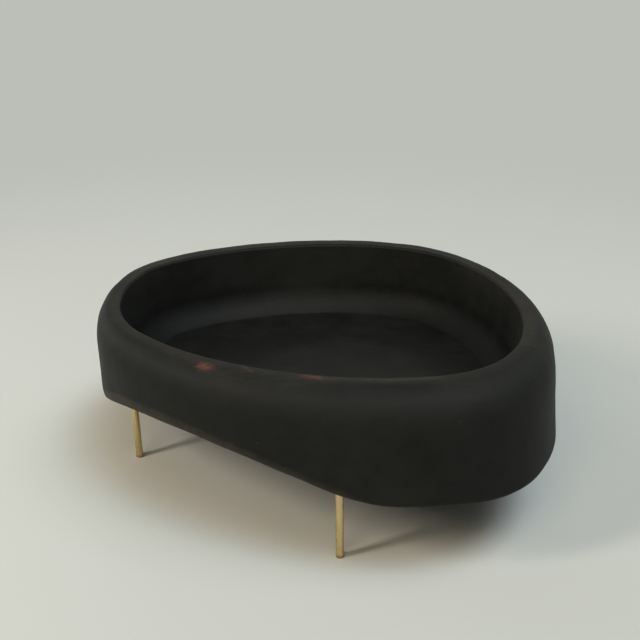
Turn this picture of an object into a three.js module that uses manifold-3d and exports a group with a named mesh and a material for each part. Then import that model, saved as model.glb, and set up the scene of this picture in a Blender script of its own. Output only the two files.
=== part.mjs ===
// A thick-walled, hand-carved wooden bowl, shaped like a pebble from above, on three plain brass rods.
// Millimetres, +Z up. The origin is on the standing surface, under the middle of the bowl's plan.
// A bearing is in degrees, anticlockwise from +X as seen from above, so the front of the bowl is at 270.
import * as THREE from 'three';
import { mergeVertices } from 'three/addons/utils/BufferGeometryUtils.js';
import Module from 'manifold-3d';

// Heights
const UNDERSIDE_HEIGHT = 42.5;
const BODY_HEIGHT = 53;

// Outline of the upper wall from above: a circle with soft swells.
// A swell stands out by its height at each of its crests, and draws in as far between them.
const MEAN_RADIUS = 114;
const OUTLINE_SWELLS = [
  { crests: 2, height: 11.2, bearing: -24 },
  { crests: 3, height: 4, bearing: 58 },
  { crests: 4, height: 1.9, bearing: 42.5 },
  { crests: 5, height: 1, bearing: -6 },
];

// Wall: upright, but leaning out towards the front right on its way down to a rounded bottom edge
const WALL_LEAN = 10.8;
const WALL_LEAN_BEARING = 297;
const BASE_EDGE_RADIUS = 5;

// Undercut: one flat sloping cut along the front left, below the wall
const UNDERCUT_DISTANCE = 78;
const UNDERCUT_BEARING = 232.5;
const UNDERCUT_LEAN = 48;

// Rim: from the outermost wall to the edge of the mouth, with a rounded shoulder outside
const RIM_WIDTH = 17.4;
const RIM_SWELLS = [
  { crests: 1, height: 1.4, bearing: -62 },
  { crests: 2, height: 2.4, bearing: 98 },
];
const SHOULDER_WIDTH = 12;
const SHOULDER_DEPTH = 18;
const SHOULDER_FULLNESS = 2.3;
const LIP_RADIUS = 2;

// Hollow: the inner wall draws in a little on its way down to a rounded cove. The cove is still this many
// degrees from level where it meets the flat floor, in a crease.
const FLOOR_THICKNESS = 13.9;
const HOLLOW_DRAW_IN = 4;
const COVE_RADIUS = 20;
const COVE_END_SLOPE = 31;

// Legs: brass rods glued into blind holes under the wall. Each one's inset is from the edge of the flat
// underside to the middle of the rod, and holds at the undercut's edge too.
const ROD_DIAMETER = 4;
const SOCKET_DEPTH = 12;
const SOCKET_CLEARANCE = 0.3;
const LEFT_LEG_INSET = 10.5;
const FRONT_LEG_INSET = 9.2;
const REAR_LEG_INSET = 11.4;
const LEGS = [
  { name: 'leg_left', bearing: 188, inset: LEFT_LEG_INSET },
  { name: 'leg_front', bearing: 255.8, inset: FRONT_LEG_INSET },
  { name: 'leg_rear', bearing: 46, inset: REAR_LEG_INSET },
];

// Fineness of the curved surfaces
const SIDES = 80;
const ROD_SIDES = 24;
const EDGE_STEPS = 4;
const WALL_STEPS = 2;
const SHOULDER_STEPS = 7;
const COVE_STEPS = 5;

const RIM_HEIGHT = UNDERSIDE_HEIGHT + BODY_HEIGHT;
const SHOULDER_HEIGHT = RIM_HEIGHT - SHOULDER_DEPTH;
const FLOOR_HEIGHT = UNDERSIDE_HEIGHT + FLOOR_THICKNESS;
const MOUTH_RADIUS = MEAN_RADIUS - RIM_WIDTH;
const COVE_TOP_RADIUS = MOUTH_RADIUS - HOLLOW_DRAW_IN;
const COVE_END_ANGLE = THREE.MathUtils.degToRad(COVE_END_SLOPE);
const FLOOR_RADIUS = COVE_TOP_RADIUS - COVE_RADIUS * (1 - Math.sin(COVE_END_ANGLE));

// Plan shape. An outline is given by how far its tangent lies from the axis at each bearing (reach) and
// how fast that changes (turn), so an inset by any distance stays parallel to the outline.
function addSwells(swells, angle) {
  let reach = 0;
  let turn = 0;
  for (const { crests, height, bearing } of swells) {
    const phase = crests * (angle - THREE.MathUtils.degToRad(bearing));
    reach += height * Math.cos(phase);
    turn -= height * crests * Math.sin(phase);
  }
  return { reach, turn };
}

function outlineSwell(angle) {
  return addSwells(OUTLINE_SWELLS, angle);
}

function mouthSwell(angle) {
  const outline = outlineSwell(angle);
  const rim = addSwells(RIM_SWELLS, angle);
  return { reach: outline.reach - rim.reach, turn: outline.turn - rim.turn };
}

function leanSwell(angle, height) {
  const away = angle - THREE.MathUtils.degToRad(WALL_LEAN_BEARING);
  const share = Math.max(Math.cos(away), 0);
  const lean = WALL_LEAN * ((RIM_HEIGHT - height) / BODY_HEIGHT);
  return { reach: lean * share ** 2, turn: -2 * lean * share * Math.sin(away) };
}

function outerSwell(angle, height) {
  const outline = outlineSwell(angle);
  const lean = leanSwell(angle, height);
  return { reach: outline.reach + lean.reach, turn: outline.turn + lean.turn };
}

function planPoint(angle, radius, swell) {
  const reach = radius + swell.reach;
  return new THREE.Vector2(
    reach * Math.cos(angle) - swell.turn * Math.sin(angle),
    reach * Math.sin(angle) + swell.turn * Math.cos(angle),
  );
}

// Turns a round profile of radii and heights into a pebble. The swells fade out towards the axis.
function pebble(profile, edgeRadius, swellAt) {
  const geometry = new THREE.LatheGeometry(profile, SIDES).rotateX(Math.PI / 2);
  const places = geometry.attributes.position;
  for (let index = 0; index < places.count; index += 1) {
    const radius = Math.hypot(places.getX(index), places.getY(index));
    const angle = Math.atan2(places.getY(index), places.getX(index));
    const height = places.getZ(index);
    const full = swellAt(angle, height);
    const fade = Math.min(radius / edgeRadius, 1);
    const point = planPoint(angle, radius, { reach: fade * full.reach, turn: fade * full.turn });
    places.setXY(index, point.x, point.y);
  }
  return geometry;
}

// Profiles, from the axis at the bottom to the axis at the top
function baseEdgeProfile() {
  const points = [];
  for (let step = 0; step <= EDGE_STEPS; step += 1) {
    const angle = (step / EDGE_STEPS) * (Math.PI / 2);
    const inset = BASE_EDGE_RADIUS * (1 - Math.sin(angle));
    const rise = BASE_EDGE_RADIUS * (1 - Math.cos(angle));
    points.push(new THREE.Vector2(MEAN_RADIUS - inset, UNDERSIDE_HEIGHT + rise));
  }
  return points;
}

function wallProfile() {
  const points = [];
  const start = UNDERSIDE_HEIGHT + BASE_EDGE_RADIUS;
  for (let step = 1; step < WALL_STEPS; step += 1) {
    const height = THREE.MathUtils.lerp(start, SHOULDER_HEIGHT, step / WALL_STEPS);
    points.push(new THREE.Vector2(MEAN_RADIUS, height));
  }
  return points;
}

function shoulderProfile() {
  const points = [];
  const power = 2 / SHOULDER_FULLNESS;
  for (let step = 0; step <= SHOULDER_STEPS; step += 1) {
    const angle = (step / SHOULDER_STEPS) * (Math.PI / 2);
    const across = Math.max(Math.cos(angle), 0) ** power;
    const up = Math.sin(angle) ** power;
    const inset = SHOULDER_WIDTH * (1 - across);
    points.push(new THREE.Vector2(MEAN_RADIUS - inset, SHOULDER_HEIGHT + SHOULDER_DEPTH * up));
  }
  return points;
}

function blockProfile() {
  return [
    new THREE.Vector2(0, UNDERSIDE_HEIGHT),
    ...baseEdgeProfile(),
    ...wallProfile(),
    ...shoulderProfile(),
    new THREE.Vector2(0, RIM_HEIGHT),
  ];
}

function coveProfile() {
  const points = [];
  for (let step = 0; step <= COVE_STEPS; step += 1) {
    const slope = THREE.MathUtils.lerp(COVE_END_ANGLE, Math.PI / 2, step / COVE_STEPS);
    const inset = COVE_RADIUS * (1 - Math.sin(slope));
    const rise = COVE_RADIUS * (Math.cos(COVE_END_ANGLE) - Math.cos(slope));
    points.push(new THREE.Vector2(COVE_TOP_RADIUS - inset, FLOOR_HEIGHT + rise));
  }
  return points;
}

function lipProfile() {
  const points = [];
  for (let step = 0; step <= EDGE_STEPS; step += 1) {
    const angle = (step / EDGE_STEPS) * (Math.PI / 2);
    const flare = LIP_RADIUS * (1 - Math.cos(angle));
    const rise = LIP_RADIUS * (Math.sin(angle) - 1);
    points.push(new THREE.Vector2(MOUTH_RADIUS + flare, RIM_HEIGHT + rise));
  }
  return points;
}

function hollowProfile() {
  const clearHeight = RIM_HEIGHT + LIP_RADIUS;
  return [
    new THREE.Vector2(0, FLOOR_HEIGHT),
    ...coveProfile(),
    ...lipProfile(),
    new THREE.Vector2(MOUTH_RADIUS + LIP_RADIUS, clearHeight),
    new THREE.Vector2(0, clearHeight),
  ];
}

// Undercut: a block whose near face is the sloping cut
function undercutBlock() {
  const size = 4 * MEAN_RADIUS;
  const block = new THREE.BoxGeometry(size, size, size).translate(size / 2, 0, 0);
  block.rotateY(THREE.MathUtils.degToRad(UNDERCUT_LEAN));
  block.translate(UNDERCUT_DISTANCE, 0, UNDERSIDE_HEIGHT);
  block.rotateZ(THREE.MathUtils.degToRad(UNDERCUT_BEARING));
  return block;
}

// Place of a leg: inside the rounded edge of the underside, and as far inside the undercut's edge
function legPlace({ bearing, inset }) {
  const angle = THREE.MathUtils.degToRad(bearing);
  const radius = MEAN_RADIUS - BASE_EDGE_RADIUS - inset;
  const place = planPoint(angle, radius, outerSwell(angle, UNDERSIDE_HEIGHT));
  const cutAngle = THREE.MathUtils.degToRad(UNDERCUT_BEARING);
  const cutDirection = new THREE.Vector2(Math.cos(cutAngle), Math.sin(cutAngle));
  const room = UNDERCUT_DISTANCE - inset - place.dot(cutDirection);
  return place.addScaledVector(cutDirection, Math.min(room, 0));
}

function rod(diameter, length) {
  return new THREE.CylinderGeometry(diameter / 2, diameter / 2, length, ROD_SIDES).rotateX(Math.PI / 2);
}

// Cutting
const wasm = await Module();
wasm.setup();

function toSolid(geometry) {
  const bare = new THREE.BufferGeometry();
  bare.setAttribute('position', geometry.attributes.position.clone());
  bare.setIndex(geometry.index.clone());
  const merged = mergeVertices(bare);
  const corners = merged.index.array;
  const faces = [];
  for (let face = 0; face < corners.length; face += 3) {
    const [a, b, c] = corners.slice(face, face + 3);
    if (a !== b && b !== c && c !== a) {
      faces.push(a, b, c);
    }
  }
  const mesh = new wasm.Mesh({
    numProp: 3,
    vertProperties: new Float32Array(merged.attributes.position.array),
    triVerts: new Uint32Array(faces),
  });
  return new wasm.Manifold(mesh);
}

function toGeometry(solid) {
  const mesh = solid.getMesh();
  const geometry = new THREE.BufferGeometry();
  geometry.setAttribute('position', new THREE.BufferAttribute(new Float32Array(mesh.vertProperties), 3));
  geometry.setIndex(new THREE.BufferAttribute(new Uint32Array(mesh.triVerts), 1));
  geometry.computeVertexNormals();
  return geometry;
}

// Pieces
function bowlBody() {
  let body = toSolid(pebble(blockProfile(), MEAN_RADIUS - BASE_EDGE_RADIUS, outerSwell));
  body = body.subtract(toSolid(pebble(hollowProfile(), FLOOR_RADIUS, mouthSwell)));
  body = body.subtract(toSolid(undercutBlock()));
  for (const leg of LEGS) {
    const place = legPlace(leg);
    const socket = rod(ROD_DIAMETER + 2 * SOCKET_CLEARANCE, 2 * SOCKET_DEPTH);
    socket.translate(place.x, place.y, UNDERSIDE_HEIGHT);
    body = body.subtract(toSolid(socket));
  }
  const material = new THREE.MeshStandardMaterial({ color: 0x23221e, roughness: 0.78, metalness: 0 });
  const mesh = new THREE.Mesh(toGeometry(body), material);
  mesh.name = 'bowl_body';
  return mesh;
}

function brassLeg(leg) {
  const length = UNDERSIDE_HEIGHT + SOCKET_DEPTH - SOCKET_CLEARANCE;
  const material = new THREE.MeshStandardMaterial({ color: 0xb3924f, roughness: 0.38, metalness: 1 });
  const mesh = new THREE.Mesh(rod(ROD_DIAMETER, length), material);
  const place = legPlace(leg);
  mesh.name = leg.name;
  mesh.position.set(place.x, place.y, length / 2);
  return mesh;
}

const body = bowlBody();
body.geometry.computeBoundingBox();
const middle = body.geometry.boundingBox.getCenter(new THREE.Vector3());

const bowl = new THREE.Group();
bowl.add(body, ...LEGS.map(brassLeg));
bowl.position.set(-middle.x, -middle.y, 0);

export default bowl;
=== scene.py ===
import math

import bmesh
import bpy
import numpy as np
from mathutils import Matrix, Vector, noise


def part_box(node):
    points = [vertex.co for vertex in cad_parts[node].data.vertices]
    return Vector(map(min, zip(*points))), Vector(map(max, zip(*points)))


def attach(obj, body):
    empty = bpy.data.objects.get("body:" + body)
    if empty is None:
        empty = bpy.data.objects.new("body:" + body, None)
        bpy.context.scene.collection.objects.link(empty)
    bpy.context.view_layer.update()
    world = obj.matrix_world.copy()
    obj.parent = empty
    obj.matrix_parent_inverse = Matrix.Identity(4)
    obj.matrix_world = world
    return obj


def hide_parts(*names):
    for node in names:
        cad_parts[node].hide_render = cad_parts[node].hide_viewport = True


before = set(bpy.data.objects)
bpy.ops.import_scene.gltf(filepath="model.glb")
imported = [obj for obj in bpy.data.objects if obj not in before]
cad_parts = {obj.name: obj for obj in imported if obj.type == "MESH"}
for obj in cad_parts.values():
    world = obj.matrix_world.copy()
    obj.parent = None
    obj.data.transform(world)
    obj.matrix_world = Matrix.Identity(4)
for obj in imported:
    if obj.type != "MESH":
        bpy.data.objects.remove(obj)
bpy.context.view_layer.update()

MM = 0.001
ROD_NAMES = ("leg_left", "leg_front", "leg_rear")

# Sizes of the body and the rods, in millimetres and degrees. They are the solids' sizes, but the
# base edge, the wall's lean, the front of the shoulder and the cove follow the photograph more
# closely.
UNDERSIDE_HEIGHT = 42.5
BODY_HEIGHT = 53.0
RIM_HEIGHT = UNDERSIDE_HEIGHT + BODY_HEIGHT
MEAN_RADIUS = 114.0
BASE_EDGE_RADIUS = 3.6
WALL_LEAN = 10.8
WALL_LEAN_BEARING = 297.5
UNDERCUT_DISTANCE = 78.0
UNDERCUT_BEARING = 232.5
UNDERCUT_LEAN = 48.0
UNDERCUT_SOFTNESS = 5.0
RIM_WIDTH = 17.4
SHOULDER_WIDTH = 12.0
SHOULDER_FRONT_GAIN = 2.6
SHOULDER_SHARE = 0.9
SHOULDER_DEPTH = 18.0
SHOULDER_FOOT = RIM_HEIGHT - SHOULDER_DEPTH
SHOULDER_FULLNESS = 2.3
LIP_RADIUS = 2.0
FLOOR_THICKNESS = 13.9
FLOOR_HEIGHT = UNDERSIDE_HEIGHT + FLOOR_THICKNESS
FLOOR_EDGE_INSET = 13.7
COVE_RADIUS = 18.0
COVE_START_ANGLE = math.radians(81.5)
COVE_END_ANGLE = math.radians(25)
CREASE_ROUNDING = 1.0
SOCKET_RADIUS = 2.15
SOCKET_DEPTH = 12.0
ROD_RADIUS = 2.0
ROD_END_ROUNDING = 0.25

# Swells of the outline and of the rim's width around the bowl: number of crests, their height and
# the bearing of one
OUTLINE_SWELLS = ((2, 11.2, -24.0), (3, 4.0, 58.0), (4, 1.9, 42.5), (5, 1.0, -6.0))
RIM_SWELLS = ((1, 1.4, -62.0), (2, 2.4, 98.0))

# Unevenness of the hand-carved surface: wavelength and depth of each layer. The cut is half that
# deep where the noise is zero, and the swing is how fast it changes from there. The skin starts a
# little outside the mean radius, since the carving only takes away.
CARVING = ((36.0, 0.30), (13.0, 0.30), (5.0, 0.08))
CARVING_MIDDLE = 0.5
CARVING_SWING = 0.7
CARVING_ALLOWANCE = 0.04
OUTER_RADIUS = MEAN_RADIUS + CARVING_ALLOWANCE
MOUTH_RADIUS = MEAN_RADIUS - RIM_WIDTH - CARVING_ALLOWANCE
FLOOR_RADIUS = MOUTH_RADIUS - FLOOR_EDGE_INSET

# Flats left by the tool on the outer wall: bearing, depth and lean from upright
WALL_FLATS = (
    (20.0, 0.8, 0.3),
    (43.0, 0.5, 0.0),
    (78.0, 0.4, 0.0),
    (112.0, 0.5, 0.0),
    (149.0, 0.4, 0.5),
)
WALL_FLAT_SOFTNESS = 1.0

# Where the bowl's own axis stands in the part's frame: the CAD centres the body on its box
BODY_AXIS = (2.104, 4.801, 0.0)

# Fineness of the meshes: points around, and steps along each stretch of the body's and the rods'
# sections
SIDES = 512
UNDERSIDE_STEPS = 44
BASE_EDGE_STEPS = 10
WALL_STEPS = 24
SHOULDER_STEPS = 26
RIM_STEPS = 7
LIP_STEPS = 10
INNER_WALL_STEPS = 16
COVE_STEPS = 24
FLOOR_STEPS = 34
ROD_SIDES = 64
ROD_STEPS = 24
ROD_END_STEPS = 6

# Lighter strip along the undercut's edge, partly wear and partly painted light thrown up from the
# floor
# onto the edge that faces down: where its left and front ends lie along the edge, from the bowl's
# axis, and how far it reaches above the edge and how strong it is at each end. Then how soft its
# border is, and between which distances past the cut's plane it ends.
STRIP_ENDS = (-63.0, 55.0)
STRIP_REACH = (3.0, 1.3)
STRIP_STRENGTH = (0.80, 0.50)
STRIP_BORDER = 1.0
STRIP_FOOT = (2.0, 7.0)

# How faded the stain is, from 0 to 1: on the wall, and on top of the rim at the front and at the
# back.
# The rim's top is painted shade, darker than the wall at the front and much darker at the back,
# against the light that the top and the back rim catch. RIM_BACK_CHANGE is how far back front turns
# into back, from the bowl's axis, and RIM_BLEND the depths below the rim between which wall turns
# into rim.
WALL_FADE = 0.58
RIM_FRONT_SHADED_FADE = 0.44
RIM_BACK_SHADED_FADE = 0.04
RIM_BACK_CHANGE = (5.0, 35.0)
RIM_BLEND = (8.0, 1.0)

# More fade on the shoulder just under the rim, partly wear and partly painted light that lifts the
# shoulder where its slope leaves it darker than the rim's top. It starts and ends between these
# depths below the rim
SHOULDER_WEAR_AND_LIGHT = 0.34
SHOULDER_BAND_FOOT = (7.0, 3.5)
SHOULDER_BAND_TOP = (1.6, 0.1)

# The hollow's side is painted light: its fade from left to right of the bowl's axis is lightest
# left of the axis, where the band of light on the cove lies, with painted shade towards the right;
# and its wall has more painted light on top of that, which comes in between these heights above the
# hollow's floor
INNER_PAINTED_LIGHT = (
    (-80, 0.25),
    (-46, 0.55),
    (-23, 0.72),
    (0, 0.52),
    (23, 0.34),
    (46, 0.05),
    (80, 0.0),
)
INNER_WALL_PAINTED_LIGHT = 0.45
INNER_WALL_FOOT = (12.0, 20.0)

# The hollow's floor: dark at its edge, and rubbed paler in an oval, whose border is soft from this
# share of its size outwards
FLOOR_EDGE_FADE = 0.10
FLOOR_FADE = 0.44
RUBBED_MIDDLE = (10.0, -18.0)
RUBBED_HALF_SIZE = (58.0, 60.0)
RUBBED_BORDER = 0.72

# Marks in the part's frame, where the black is rubbed through to the wood and where it is lighter:
# start, end, reach and strength
BARE_MARKS = (
    ((-55.2, -64.6, 95.3), (-53.0, -66.4, 95.3), 2.8, 0.72),
    ((-60.0, -60.5, 95.0), (-50.0, -68.5, 95.2), 4.2, 0.28),
    ((-74.5, -49.6, 95.5), (-64.0, -57.4, 95.5), 2.2, 0.26),
    ((-35.9, -68.0, 95.5), (-31.5, -72.0, 95.5), 1.5, 0.50),
    ((-7.5, -77.2, 95.4), (-0.4, -79.8, 95.2), 2.0, 0.42),
    ((-11.0, -77.4, 95.3), (2.0, -80.6, 95.3), 2.8, 0.24),
)
WORN_AND_LIT_MARKS = (
    ((-70.0, -53.0, 95.2), (-44.0, -74.0, 94.8), 4.5, 0.08),
    ((-44.0, -74.0, 94.8), (-14.0, -84.0, 94.8), 4.5, 0.16),
    ((-14.0, -81.0, 95.3), (6.0, -83.0, 95.3), 3.5, 0.16),
    # Painted highlight: the two thin marks along the mouth's front edge
    ((2.0, -80.6, 95.4), (31.0, -83.4, 95.4), 1.4, 0.52),
    ((31.0, -83.4, 95.4), (54.0, -81.4, 95.4), 1.4, 0.42),
    # Painted highlight on the front right shoulder
    ((58.0, -87.0, 94.0), (72.0, -84.0, 94.0), 4.5, 0.14),
    ((-104.0, 45.0, 94.0), (-90.0, 71.0, 94.0), 8.0, 0.34),
    ((101.0, -46.0, 95.0), (108.0, -16.0, 95.0), 4.5, 0.34),
    ((84.0, 57.0, 94.5), (108.0, -6.0, 94.5), 6.0, 0.22),
)

# Light specks: the places on the wall where the photograph shows one, and the spacing of the
# scattered ones. Each kind is full up to the first radius and ends at the second, and the third
# number is its strength.
SPECKS = ((60.7, -100.4, 83.1), (74.5, -98.3, 77.5), (-29.4, -90.7, 67.8), (24.7, -101.3, 84.4))
SPECK_SPACING = 9.0
PLACED_SPECK = (0.25, 0.65, 0.30)
SCATTERED_SPECK = (0.15, 0.40, 0.25)

# Noises of the wood and of the brass: size in millimetres, octaves, stretch and roughness
EVEN = (1, 1, 1)
WOOD_CLOUDS = (48, 4)
WOOD_PATCHES = (13, 4, EVEN, 0.6)
WOOD_GRAIN = (2.4, 3, (0.07, 1, 1))
WOOD_PORES = (0.7, 2, (0.12, 1, 1))
WOOD_DUST = (0.9, 2)
WOOD_SPECKLE = (2.2, 3)
BRASS_STREAKS = (0.35, 2, (1, 1, 0.02))
BRASS_BLOTCHES = (4, 4, EVEN, 0.6)

# Black stained wood: deepest stain, faded stain, worn stain that also paints light (the lighter
# strip along the undercut's edge and highlights along the rim), bare wood and specks
WOOD_DEEP = (0.0034, 0.0037, 0.0031)
WOOD_FADED = (0.0136, 0.0138, 0.0116)
WOOD_WORN_AND_LIT = (0.047, 0.039, 0.028)
WOOD_BARE = (0.104, 0.043, 0.031)
WOOD_SPECK = (0.12, 0.12, 0.11)

# How the noises act on it: their shares in a sum, the range of that sum, and the values that the
# range is turned into
FADE_SHARES = (0.95, 0.8, 0.25)
FADE_RANGE = (0.7, 1.3)
FADE_SWING = (-0.26, 0.26)
WEAR_AND_LIGHT_SHARES = (0.6, 0.4)
WEAR_AND_LIGHT_RANGE = (0.36, 0.62)
WEAR_AND_LIGHT_LEVELS = (0.3, 1.0)
SPECKLE_SHARES = (0.7, 0.3)
SPECKLE_RANGE = (0.25, 0.75)
SPECKLE_LEVELS = (0.6, 1.4)
BARE_RANGE = (0.08, 1.1)
PORE_RANGE = (0.34, 0.42)

# Its least roughness and what the clouds, patches and pores add, its gloss, and its relief in
# millimetres
WOOD_ROUGHNESS = 0.36
WOOD_ROUGHNESS_SHARES = (0.22, 0.16, 0.1)
WOOD_GLOSS = 0.14
PATCH_RELIEF = 0.12
GRAIN_RELIEF = 0.05
PORE_RELIEF = 0.03
DUST_RELIEF = 0.02

# Satin brass, drawn along the rod: its colours, the last being tarnish and also painted shade at
# the rod's ends, and the shares and the range of the noises that turn deep metal into pale
BRASS_PALE = (0.74, 0.58, 0.31)
BRASS_DEEP = (0.60, 0.44, 0.20)
BRASS_TARNISH_AND_SHADE = (0.27, 0.17, 0.075)
BRASS_SHARES = (0.6, 0.4)
BRASS_RANGE = (0.35, 0.65)

# Painted shade at the foot and at the socket, between these heights, where the rod meets the floor
# and the bowl; tarnish in blotches; both broken up by the streaks
FOOT_SHADE_HEIGHTS = (0.4, 2.5)
FOOT_SHADE = 0.75
SOCKET_SHADE_HEIGHTS = (UNDERSIDE_HEIGHT - 3.0, UNDERSIDE_HEIGHT)
SOCKET_SHADE = 0.5
BLOTCH_RANGE = (0.55, 0.72)
BLOTCH_TARNISH = 0.45
STREAK_RANGE = (0.2, 0.6)
STREAK_LEVELS = (0.6, 1.0)

# Its least roughness and what the streaks, blotches and tarnish with painted shade add, and its
# relief in millimetres
BRASS_ROUGHNESS = 0.18
BRASS_ROUGHNESS_SHARES = (0.2, 0.15, 0.2)
STREAK_RELIEF = 0.012

# Stage: a pale floor that turns into a plain pale backdrop between these distances, in metres
PALE = (0.505, 0.52, 0.48)
FLOOR_COLOUR = (0.684, 0.682, 0.630)
FLOOR_NEAR = 0.32
FLOOR_FAR = 0.75
FLOOR_SIZE = 24
ROOM_LIGHT = 0.03

# Lamps: name, bearing, elevation, spread, and the light that each throws on a white surface that
# faces it
SUNS = (
    ("key", 300, 66, 28, (0.143, 0.195, 0.235)),
    ("key_middle", 320, 66, 22, (0.147, 0.175, 0.188)),
    ("key_right", 352, 61, 26, (0.146, 0.146, 0.160)),
    ("front_left", 240, 44, 24, (0.150, 0.131, 0.094)),
    ("front_high", 265, 60, 24, (0.082, 0.053, 0.030)),
    ("back_left", 152, 14, 34, (0.128, 0.138, 0.146)),
    ("back_low", 95, 12, 36, (0.050, 0.038, 0.040)),
    ("back_high", 90, 38, 36, (0.030, 0.032, 0.022)),
)
# Panels near the bowl: name, bearing, elevation, then distance, width and height in metres, and
# their light at the bowl
PANELS = (
    ("window", 205.5, 37.5, 1.3, 0.20, 0.42, (0.363, 0.333, 0.287)),
    ("side", 15, 38, 0.6, 0.45, 0.30, (0.034, 0.042, 0.038)),
)

# Camera, fitted to the photograph's outline: place and sensor in millimetres, pitch and roll in
# degrees
CAMERA_PLACE = (0.104, -472.2, 307.0)
CAMERA_PITCH = 25.0
CAMERA_ROLL = -1.0
FOCAL_PIXELS = 985.0
IMAGE_PIXELS = 640.0
SENSOR = 36.0
CLIP_START = 0.01


def direction_of(bearing, rise):
    turn, tip = math.radians(bearing), math.radians(rise)
    return np.array([
        math.cos(tip) * math.cos(turn),
        math.cos(tip) * math.sin(turn),
        math.sin(tip),
    ])


def between(low, high, count):
    """Even steps from low to high, without the two ends."""
    return np.linspace(low, high, count)[1:-1]


def ease(values, low, high):
    """Rises smoothly from 0 at low to 1 at high."""
    share = np.clip((values - low) / (high - low), 0, 1)
    return share * share * (3 - 2 * share)


def ease_to_rim(heights, depths):
    """Rises smoothly from 0 to 1 between two depths below the rim, the deeper one first."""
    deep, shallow = depths
    return ease(heights, RIM_HEIGHT - deep, RIM_HEIGHT - shallow)


def quarter_round(radius, count):
    """Inset from the side and rise from the end face along a rounded edge, from face to side."""
    angles = np.linspace(0, math.pi / 2, count)
    return [(radius * (1 - math.sin(turn)), radius * (1 - math.cos(turn))) for turn in angles]


def add_object(name, data):
    item = bpy.data.objects.new(name, data)
    bpy.context.scene.collection.objects.link(item)
    return item


def add_swells(rows, angle):
    """How far the swells move the tangent at each bearing, and how fast that changes around."""
    reach = np.zeros_like(angle)
    turn = np.zeros_like(angle)
    for crests, height, bearing in rows:
        phase = crests * (angle - math.radians(bearing))
        reach += height * np.cos(phase)
        turn -= height * crests * np.sin(phase)
    return reach, turn


ANGLES = np.linspace(0, 2 * math.pi, SIDES, endpoint=False)
OUTLINE = add_swells(OUTLINE_SWELLS, ANGLES)
RIM = add_swells(RIM_SWELLS, ANGLES)
MOUTH = (OUTLINE[0] - RIM[0], OUTLINE[1] - RIM[1])


def ring(radius, height, reach, turn):
    """The curve whose tangent at each bearing lies that far from the axis."""
    distance = radius + reach
    x = distance * np.cos(ANGLES) - turn * np.sin(ANGLES)
    y = distance * np.sin(ANGLES) + turn * np.cos(ANGLES)
    return np.stack([x, y, np.broadcast_to(height, x.shape)], axis=1)


def outer_ring(radius, height, share=1.0):
    """A ring of the outside, which leans out further down. A share below 1 shrinks its swells."""
    away = ANGLES - math.radians(WALL_LEAN_BEARING)
    facing = np.maximum(np.cos(away), 0)
    lean = WALL_LEAN * (RIM_HEIGHT - height) / BODY_HEIGHT
    reach = OUTLINE[0] + lean * facing**2
    turn = OUTLINE[1] - 2 * lean * facing * np.sin(away)
    return ring(radius, height, share * reach, share * turn)


def inner_ring(radius, height, share=1.0):
    return ring(radius, height, share * MOUTH[0], share * MOUTH[1])


def outside_rings():
    """The underside, its rounded edge, the wall and the shoulder."""
    rings = []
    flat_radius = OUTER_RADIUS - BASE_EDGE_RADIUS
    for share in between(0, 1, UNDERSIDE_STEPS):
        rings.append(outer_ring(share * flat_radius, UNDERSIDE_HEIGHT, share))
    for inset, rise in quarter_round(BASE_EDGE_RADIUS, BASE_EDGE_STEPS):
        rings.append(outer_ring(OUTER_RADIUS - inset, UNDERSIDE_HEIGHT + rise))
    for height in between(UNDERSIDE_HEIGHT + BASE_EDGE_RADIUS, SHOULDER_FOOT, WALL_STEPS):
        rings.append(outer_ring(OUTER_RADIUS, height))
    power = 2 / SHOULDER_FULLNESS
    front = np.maximum(-np.sin(ANGLES), 0)
    width = SHOULDER_WIDTH + SHOULDER_FRONT_GAIN * front + SHOULDER_SHARE * RIM[0]
    for angle in np.linspace(0, math.pi / 2, SHOULDER_STEPS):
        inset = width * (1 - max(math.cos(angle), 0) ** power)
        rise = SHOULDER_DEPTH * math.sin(angle) ** power
        rings.append(outer_ring(OUTER_RADIUS - inset, SHOULDER_FOOT + rise))
    return rings


def lip_rings():
    rings = []
    for flare, drop in quarter_round(LIP_RADIUS, LIP_STEPS):
        rings.append(inner_ring(MOUTH_RADIUS + flare, RIM_HEIGHT - drop))
    return rings


def cove_rings():
    rings = []
    for slope in np.linspace(COVE_START_ANGLE, COVE_END_ANGLE, COVE_STEPS):
        flare = COVE_RADIUS * (math.sin(slope) - math.sin(COVE_END_ANGLE))
        rise = COVE_RADIUS * (math.cos(COVE_END_ANGLE) - math.cos(slope))
        rings.append(inner_ring(FLOOR_RADIUS + flare, FLOOR_HEIGHT + rise))
    return rings


def body_rings():
    """All rings, from the middle of the underside, around the rim, to the middle of the hollow.

    Also the rows where the hollow's side and the hollow's floor begin.
    """
    rings = outside_rings()
    lip = lip_rings()
    cove = cove_rings()
    shoulder = rings[-1]
    for share in between(0, 1, RIM_STEPS):
        rings.append(shoulder * (1 - share) + lip[0] * share)
    lip_row = len(rings) + len(lip) // 2
    rings += lip
    for share in between(0, 1, INNER_WALL_STEPS):
        rings.append(lip[-1] * (1 - share) + cove[0] * share)
    rings += cove
    crease_row = len(rings)
    near_edge = FLOOR_RADIUS - CREASE_ROUNDING
    rings.append(inner_ring(near_edge, FLOOR_HEIGHT))
    for share in between(1, 0, FLOOR_STEPS):
        rings.append(inner_ring(share * near_edge, FLOOR_HEIGHT, share))
    return np.array(rings), lip_row, crease_row


def soft_cut(points, place, normal, softness):
    """Moves what lies beyond a plane back onto it, with a rounded change of surface at its edge."""
    beyond = (points - place) @ normal
    near = np.maximum(softness - np.abs(beyond), 0) / softness
    kept = np.minimum(beyond, 0) - near**2 * softness / 4
    return points + (kept - beyond)[..., None] * normal


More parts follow.
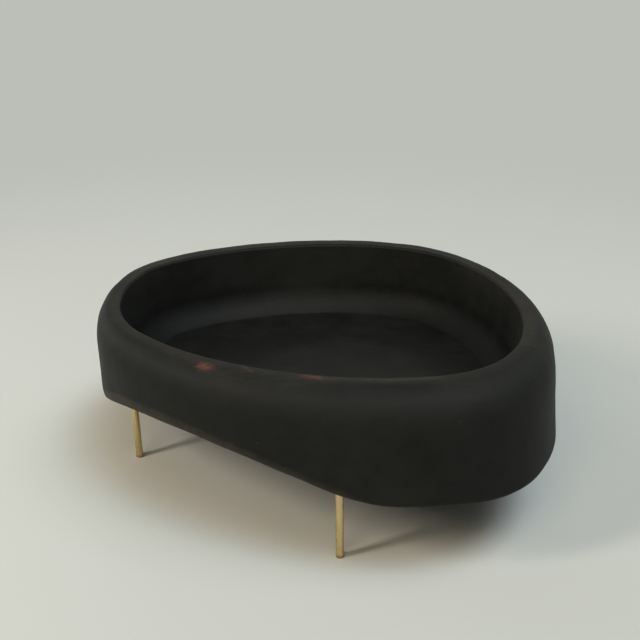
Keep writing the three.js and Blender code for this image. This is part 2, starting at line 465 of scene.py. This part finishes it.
def cut_wall_flats(rings):
    for bearing, depth, lean in WALL_FLATS:
        swell = add_swells(OUTLINE_SWELLS, np.array([math.radians(bearing)]))[0][0]
        place = direction_of(bearing, 0) * (MEAN_RADIUS + swell - depth)
        place[2] = SHOULDER_FOOT
        rings = soft_cut(rings, place, direction_of(bearing, lean), WALL_FLAT_SOFTNESS)
    return rings


def worn_and_lit_strip(rings, place, normal):
    """How strongly each point shows the lighter strip along the undercut's edge, partly wear and
    partly painted light from the floor, told from where it lies before the cut.
    """
    along = rings @ direction_of(UNDERCUT_BEARING + 90, 0)
    reach = np.interp(along, STRIP_ENDS, STRIP_REACH)
    beyond = (rings - place) @ normal
    strip = ease((beyond + reach) / STRIP_BORDER, -1, 0) * (1 - ease(beyond, *STRIP_FOOT))
    return strip * np.interp(along, STRIP_ENDS, STRIP_STRENGTH)


def fade_and_shading_levels(rings, lip_row, crease_row):
    """How faded the stain is at each point of the rings, with painted shade on the rim's top and
    painted light on the shoulder, in part, and on the hollow's side.
    """
    heights = rings[..., 2]
    rim = RIM_FRONT_SHADED_FADE + (RIM_BACK_SHADED_FADE - RIM_FRONT_SHADED_FADE) * ease(rings[..., 1], *RIM_BACK_CHANGE)
    levels = WALL_FADE + (rim - WALL_FADE) * ease_to_rim(heights, RIM_BLEND)
    shoulder_band = ease_to_rim(heights, SHOULDER_BAND_FOOT) - ease_to_rim(heights, SHOULDER_BAND_TOP)
    levels += SHOULDER_WEAR_AND_LIGHT * shoulder_band
    inner = rings[lip_row:crease_row]
    painted_wall_light = ease(inner[..., 2] - FLOOR_HEIGHT, *INNER_WALL_FOOT)
    places, inner_light_levels = zip(*INNER_PAINTED_LIGHT)
    levels[lip_row:crease_row] = np.interp(inner[..., 0], places, inner_light_levels)
    levels[lip_row:crease_row] += INNER_WALL_PAINTED_LIGHT * painted_wall_light
    offsets = (rings[crease_row:, :, :2] - RUBBED_MIDDLE) / RUBBED_HALF_SIZE
    rubbed = 1 - ease(np.hypot(offsets[..., 0], offsets[..., 1]), RUBBED_BORDER, 1.0)
    levels[crease_row:] = FLOOR_EDGE_FADE + (FLOOR_FADE - FLOOR_EDGE_FADE) * rubbed
    return levels


def stroke(points, start, end, reach, strength):
    """How strongly a mark from start to end shows at each point."""
    start = np.array(start)
    way = np.array(end) - start
    along = np.clip(((points - start) @ way) / (way @ way), 0, 1)
    gap = np.linalg.norm(points - start - along[:, None] * way, axis=1)
    return strength * np.exp(-((gap / reach) ** 2))


def mark(mesh, name, values):
    attribute = mesh.attributes.new(name, "FLOAT", "POINT")
    attribute.data.foreach_set("value", np.clip(values, 0, 1).astype(np.float32))


def body_faces(rows):
    """Triangles between the rows of points, and fans around the first and the last point."""
    faces = []
    last = 1 + (rows - 1) * SIDES
    for side in range(SIDES):
        after = (side + 1) % SIDES
        faces.append((0, 1 + after, 1 + side))
        for low in range(1, last, SIDES):
            high = low + SIDES
            faces.append((low + side, low + after, high + after))
            faces.append((low + side, high + after, high + side))
        faces.append((last + side, last + after, last + SIDES))
    return faces


def carve(mesh):
    """Sinks each point of the surface by a smooth uneven depth."""
    points = np.empty(len(mesh.vertices) * 3)
    mesh.vertices.foreach_get("co", points)
    points = points.reshape(-1, 3)
    normals = np.array([tuple(item.vector) for item in mesh.vertex_normals])
    depth = np.zeros(len(points))
    for wavelength, height in CARVING:
        places = points / (wavelength * MM)
        waves = np.array([noise.noise(place) for place in places])
        depth += height * np.clip(CARVING_MIDDLE + CARVING_SWING * waves, 0, 1)
    points -= normals * (depth * MM)[:, None]
    mesh.vertices.foreach_set("co", points.ravel())
    mesh.update()


def drill_sockets(piece):
    """Cuts the blind hole that each rod stands in."""
    bores = bmesh.new()
    depth = (UNDERSIDE_HEIGHT + SOCKET_DEPTH) * MM
    for name in ROD_NAMES:
        low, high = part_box(name)
        bmesh.ops.create_cone(
            bores,
            cap_ends=True,
            segments=ROD_SIDES,
            radius1=SOCKET_RADIUS * MM,
            radius2=SOCKET_RADIUS * MM,
            depth=depth,
            matrix=Matrix.Translation(((low.x + high.x) / 2, (low.y + high.y) / 2, depth / 2)),
        )
    mesh = bpy.data.meshes.new("bores")
    bores.to_mesh(mesh)
    bores.free()
    tool = add_object("bores", mesh)
    cut = piece.modifiers.new("sockets", "BOOLEAN")
    cut.operation = "DIFFERENCE"
    cut.solver = "EXACT"
    cut.object = tool
    bpy.context.view_layer.objects.active = piece
    with bpy.context.temp_override(object=piece, active_object=piece, selected_objects=[piece]):
        bpy.ops.object.modifier_apply(modifier=cut.name)
    bpy.data.objects.remove(tool)
    bpy.data.meshes.remove(mesh)


def make_body():
    """The carved block, with what its material needs to know about each point."""
    rings, lip_row, crease_row = body_rings()
    levels = fade_and_shading_levels(rings, lip_row, crease_row)
    place = direction_of(UNDERCUT_BEARING, 0) * UNDERCUT_DISTANCE
    place[2] = UNDERSIDE_HEIGHT
    normal = direction_of(UNDERCUT_BEARING, -UNDERCUT_LEAN)
    strip = worn_and_lit_strip(rings, place, normal)
    rings = cut_wall_flats(soft_cut(rings, place, normal, UNDERCUT_SOFTNESS))
    middle_below, middle_above = [0, 0, UNDERSIDE_HEIGHT], [0, 0, FLOOR_HEIGHT]
    points = np.vstack([middle_below, rings.reshape(-1, 3), middle_above]) + BODY_AXIS
    mesh = bpy.data.meshes.new("carved_body")
    mesh.from_pydata((points * MM).tolist(), [], body_faces(len(rings)))
    worn_and_lit = np.concatenate([[0], strip.ravel(), [0]])
    mark(mesh, "bare", sum(stroke(points, *row) for row in BARE_MARKS))
    mark(mesh, "worn_and_lit", worn_and_lit + sum(stroke(points, *row) for row in WORN_AND_LIT_MARKS))
    mark(mesh, "faded_and_shaded", np.concatenate([[WALL_FADE], levels.ravel(), [FLOOR_FADE]]))
    carve(mesh)
    piece = add_object("carved_body", mesh)
    drill_sockets(piece)
    piece.data.shade_smooth()
    return piece


def rod_profile(foot, top):
    """Radius and height of each ring, from the middle of the rod's foot to that of its top."""
    edge = quarter_round(ROD_END_ROUNDING, ROD_END_STEPS)
    profile = [(0.0, foot)]
    for inset, rise in edge:
        profile.append(((ROD_RADIUS - inset) * MM, foot + rise * MM))
    for share in between(0, 1, ROD_STEPS):
        profile.append((ROD_RADIUS * MM, foot + (top - foot) * share))
    for inset, rise in reversed(edge):
        profile.append(((ROD_RADIUS - inset) * MM, top - rise * MM))
    profile.append((0.0, top))
    return profile


def make_rod(node_name):
    """A brass rod, cut square with its edges just broken."""
    low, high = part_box(node_name)
    centre = Vector(((low.x + high.x) / 2, (low.y + high.y) / 2, 0))
    build = bmesh.new()
    rows = []
    for radius, height in rod_profile(low.z, high.z):
        if radius == 0:
            rows.append([build.verts.new(centre + Vector((0, 0, height)))])
            continue
        row = []
        for side in range(ROD_SIDES):
            turn = 2 * math.pi * side / ROD_SIDES
            offset = Vector((radius * math.cos(turn), radius * math.sin(turn), height))
            row.append(build.verts.new(centre + offset))
        rows.append(row)
    for below, above in zip(rows, rows[1:]):
        for side in range(ROD_SIDES):
            after = (side + 1) % ROD_SIDES
            if len(below) == 1:
                build.faces.new((below[0], above[after], above[side]))
            elif len(above) == 1:
                build.faces.new((below[side], below[after], above[0]))
            else:
                build.faces.new((below[side], below[after], above[after], above[side]))
    mesh = bpy.data.meshes.new("rod_" + node_name)
    build.to_mesh(mesh)
    build.free()
    mesh.shade_smooth()
    return add_object("rod_" + node_name, mesh)


class Tree:
    """Short ways to add the nodes of one material or world."""

    def __init__(self, owner):
        owner.use_nodes = True
        self.nodes = owner.node_tree.nodes
        self.links = owner.node_tree.links

    def put(self, socket, value):
        if isinstance(value, bpy.types.NodeSocket):
            self.links.new(value, socket)
        else:
            socket.default_value = value

    def add(self, kind, inputs=(), **settings):
        item = self.nodes.new("ShaderNode" + kind)
        for key, value in settings.items():
            setattr(item, key, value)
        for key, value in dict(inputs).items():
            self.put(item.inputs[key], value)
        return item

    def math(self, operation, first, second=0.0, clamp=False):
        item = self.add("Math", {0: first, 1: second}, operation=operation, use_clamp=clamp)
        return item.outputs[0]

    def total(self, values, shares):
        """The sum of each value times its share."""
        result = None
        for value, share in zip(values, shares):
            part = self.math("MULTIPLY", value, share)
            result = part if result is None else self.math("ADD", result, part)
        return result

    def ramp(self, value, low, high, start=0.0, end=1.0):
        inputs = {
            "Value": value,
            "From Min": low,
            "From Max": high,
            "To Min": start,
            "To Max": end,
        }
        return self.add("MapRange", inputs, interpolation_type="SMOOTHSTEP").outputs["Result"]

    def place(self, stretch=EVEN):
        coordinates = self.add("TexCoord").outputs["Object"]
        if stretch == EVEN:
            return coordinates
        return self.add("Mapping", {"Vector": coordinates, "Scale": stretch}).outputs[0]

    def distance(self, place=(0, 0, 0)):
        """How far each point is from a place."""
        inputs = {0: self.place(), 1: Vector(place)}
        return self.add("VectorMath", inputs, operation="DISTANCE").outputs["Value"]

    def level(self, name):
        """What the mesh says about each point under that name."""
        return self.add("Attribute", attribute_name=name).outputs["Fac"]

    def noise(self, size, detail, stretch=EVEN, roughness=0.5):
        """Smooth noise about 0.5 with features of that size in millimetres."""
        inputs = {
            "Vector": self.place(stretch),
            "Scale": 1 / (size * MM),
            "Detail": detail,
            "Roughness": roughness,
        }
        return self.add("TexNoise", inputs).outputs["Fac"]

    def blend(self, factor, first, second):
        item = self.add("Mix", data_type="RGBA")
        self.put(item.inputs["Factor"], factor)
        for name, colour in (("A", first), ("B", second)):
            socket = next(k for k in item.inputs if k.name == name and k.type == "RGBA")
            self.put(socket, colour if isinstance(colour, bpy.types.NodeSocket) else (*colour, 1))
        return next(k for k in item.outputs if k.type == "RGBA")

    def bump(self, height, depth, normal=None):
        inputs = {"Height": height, "Distance": depth * MM, "Strength": 1.0}
        if normal:
            inputs["Normal"] = normal
        return self.add("Bump", inputs).outputs[0]

    def background_rays(self):
        """One for the rays that see the backdrop as it is: camera, glossy and transmission rays."""
        path = self.add("LightPath").outputs
        both = self.math("ADD", path["Is Camera Ray"], path["Is Glossy Ray"])
        return self.math("ADD", both, path["Is Transmission Ray"], clamp=True)

    def finish(self, output, factor, first, second):
        """Ends the tree in a mix of two shaders."""
        both = self.add("MixShader", {0: factor, 1: first, 2: second})
        self.put(self.nodes[output].inputs["Surface"], both.outputs[0])


def add_specks(tree):
    """How much of a light speck each point shows, scattered ones and placed ones."""
    spacing = SPECK_SPACING * MM
    dots = tree.add("TexVoronoi", {"Vector": tree.place(), "Scale": 1 / spacing})
    full, end, strength = SCATTERED_SPECK
    inner, outer = full / SPECK_SPACING, end / SPECK_SPACING
    specks = tree.ramp(dots.outputs["Distance"], inner, outer, strength, 0.0)
    full, end, strength = PLACED_SPECK
    for place in SPECKS:
        spot = tree.ramp(tree.distance(Vector(place) * MM), full * MM, end * MM, strength, 0.0)
        specks = tree.math("MAXIMUM", specks, spot)
    return specks


def make_wood():
    wood = bpy.data.materials.new("black_wood")
    tree = Tree(wood)
    clouds = tree.noise(*WOOD_CLOUDS)
    patches = tree.noise(*WOOD_PATCHES)
    grain = tree.noise(*WOOD_GRAIN)
    pores = tree.noise(*WOOD_PORES)
    dust = tree.noise(*WOOD_DUST)

    cloudy = tree.total((clouds, patches, grain), FADE_SHARES)
    cloudy = tree.ramp(cloudy, *FADE_RANGE, *FADE_SWING)
    # The faded level also holds painted shade on the rim's top and painted light on the shoulder
    # and in the hollow
    fade_and_shading = tree.math("ADD", tree.level("faded_and_shaded"), cloudy, clamp=True)
    stain = tree.blend(fade_and_shading, WOOD_DEEP, WOOD_FADED)
    # The worn level also holds painted light along the undercut's edge and painted highlights on
    # the rim
    wear_and_light = tree.total((patches, grain), WEAR_AND_LIGHT_SHARES)
    wear_and_light = tree.math("MULTIPLY", tree.level("worn_and_lit"), tree.ramp(wear_and_light, *WEAR_AND_LIGHT_RANGE, *WEAR_AND_LIGHT_LEVELS))
    stain = tree.blend(wear_and_light, stain, WOOD_WORN_AND_LIT)
    speckle = tree.total((tree.noise(*WOOD_SPECKLE), grain), SPECKLE_SHARES)
    speckle = tree.ramp(speckle, *SPECKLE_RANGE, *SPECKLE_LEVELS)
    bare = tree.ramp(tree.math("MULTIPLY", tree.level("bare"), speckle), *BARE_RANGE)
    stain = tree.blend(bare, stain, WOOD_BARE)
    stain = tree.blend(add_specks(tree), stain, WOOD_SPECK)

    roughness = tree.total((clouds, patches, pores), WOOD_ROUGHNESS_SHARES)
    surface = tree.bump(patches, PATCH_RELIEF)
    surface = tree.bump(grain, GRAIN_RELIEF, surface)
    surface = tree.bump(tree.ramp(pores, *PORE_RANGE), PORE_RELIEF, surface)
    surface = tree.bump(dust, DUST_RELIEF, surface)
    shader = tree.nodes["Principled BSDF"]
    tree.put(shader.inputs["Base Color"], stain)
    tree.put(shader.inputs["Roughness"], tree.math("ADD", roughness, WOOD_ROUGHNESS))
    tree.put(shader.inputs["Specular IOR Level"], WOOD_GLOSS)
    tree.put(shader.inputs["Normal"], surface)
    return wood


def make_brass():
    brass = bpy.data.materials.new("brass")
    tree = Tree(brass)
    streaks = tree.noise(*BRASS_STREAKS)
    blotches = tree.noise(*BRASS_BLOTCHES)
    metal = tree.ramp(tree.total((streaks, blotches), BRASS_SHARES), *BRASS_RANGE)
    metal = tree.blend(metal, BRASS_DEEP, BRASS_PALE)

    height = tree.add("SeparateXYZ", {0: tree.place()}).outputs["Z"]
    # Darker towards the foot and the socket: painted shade where the rod meets the floor and the
    # bowl
    low, high = FOOT_SHADE_HEIGHTS
    foot = tree.ramp(height, low * MM, high * MM, FOOT_SHADE, 0.0)
    low, high = SOCKET_SHADE_HEIGHTS
    socket = tree.ramp(height, low * MM, high * MM, 0.0, SOCKET_SHADE)
    end_shade = tree.math("ADD", foot, socket)
    blotchy = tree.ramp(blotches, *BLOTCH_RANGE, 0.0, BLOTCH_TARNISH)
    tarnish_and_shade = tree.math("ADD", blotchy, end_shade, clamp=True)
    broken = tree.ramp(streaks, *STREAK_RANGE, *STREAK_LEVELS)
    tarnish_and_shade = tree.math("MULTIPLY", tarnish_and_shade, broken)

    roughness = tree.total((streaks, blotches, tarnish_and_shade), BRASS_ROUGHNESS_SHARES)
    shader = tree.nodes["Principled BSDF"]
    tree.put(shader.inputs["Base Color"], tree.blend(tarnish_and_shade, metal, BRASS_TARNISH_AND_SHADE))
    tree.put(shader.inputs["Metallic"], 1.0)
    tree.put(shader.inputs["Roughness"], tree.math("ADD", roughness, BRASS_ROUGHNESS))
    tree.put(shader.inputs["Normal"], tree.bump(streaks, STREAK_RELIEF))
    return brass


def make_floor_cloth():
    """A plain pale floor, which rays that see the backdrop see as the backdrop further away."""
    cloth = bpy.data.materials.new("floor_cloth")
    tree = Tree(cloth)
    shader = tree.nodes["Principled BSDF"]
    tree.put(shader.inputs["Base Color"], (*FLOOR_COLOUR, 1))
    tree.put(shader.inputs["Roughness"], 1.0)
    tree.put(shader.inputs["Specular IOR Level"], 0.0)
    away = tree.ramp(tree.distance(), FLOOR_NEAR, FLOOR_FAR)
    glow = tree.add("Emission", {"Color": (*PALE, 1)}).outputs[0]
    hidden = tree.math("MULTIPLY", away, tree.background_rays())
    tree.finish("Material Output", hidden, shader.outputs[0], glow)
    return cloth


def make_world():
    """The pale backdrop, and a dim room for the light itself."""
    world = bpy.data.worlds.new("studio")
    bpy.context.scene.world = world
    tree = Tree(world)
    room = tree.nodes["Background"]
    tree.put(room.inputs["Color"], (1, 1, 1, 1))
    tree.put(room.inputs["Strength"], ROOM_LIGHT)
    backdrop = tree.add("Background", {"Color": (*PALE, 1)}).outputs[0]
    tree.finish("World Output", tree.background_rays(), room.outputs[0], backdrop)


def add_lamp(name, kind, bearing, elevation, light):
    """A lamp that shines towards the bowl, with the colour of its light."""
    data = bpy.data.lights.new(name, kind)
    data.color = [part / max(light) for part in light]
    item = add_object(name, data)
    shines = Vector(-direction_of(bearing, elevation))
    item.rotation_euler = shines.to_track_quat("-Z", "Y").to_euler()
    return item


def add_lamps():
    for name, bearing, elevation, spread, light in SUNS:
        lamp = add_lamp(name, "SUN", bearing, elevation, light)
        lamp.data.angle = math.radians(spread)
        lamp.data.energy = math.pi * max(light)
    for name, bearing, elevation, distance, width, tall, light in PANELS:
        lamp = add_lamp(name, "AREA", bearing, elevation, light)
        lamp.location = Vector(direction_of(bearing, elevation)) * distance
        lamp.data.shape = "RECTANGLE"
        lamp.data.size = width
        lamp.data.size_y = tall
        lamp.data.energy = (math.pi * distance) ** 2 * max(light)
        lamp.visible_camera = False


def add_camera():
    camera = add_object("camera", bpy.data.cameras.new("camera"))
    camera.data.sensor_width = SENSOR
    camera.data.lens = FOCAL_PIXELS / IMAGE_PIXELS * SENSOR
    camera.data.clip_start = CLIP_START
    pitch = Matrix.Rotation(math.radians(90 - CAMERA_PITCH), 4, "X")
    roll = Matrix.Rotation(math.radians(CAMERA_ROLL), 4, "Z")
    camera.matrix_world = Matrix.Translation(Vector(CAMERA_PLACE) * MM) @ pitch @ roll
    bpy.context.scene.camera = camera


body = make_body()
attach(body, "root")
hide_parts("bowl_body")
body.data.materials.append(make_wood())

brass = make_brass()
for name in ROD_NAMES:
    rod = make_rod(name)
    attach(rod, "root")
    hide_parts(name)
    rod.data.materials.append(brass)

bpy.ops.mesh.primitive_plane_add(size=FLOOR_SIZE)
floor = bpy.context.object
floor.name = "floor"
floor.data.materials.append(make_floor_cloth())

make_world()
add_lamps()
add_camera()
bpy.context.scene.view_settings.view_transform = "Standard"
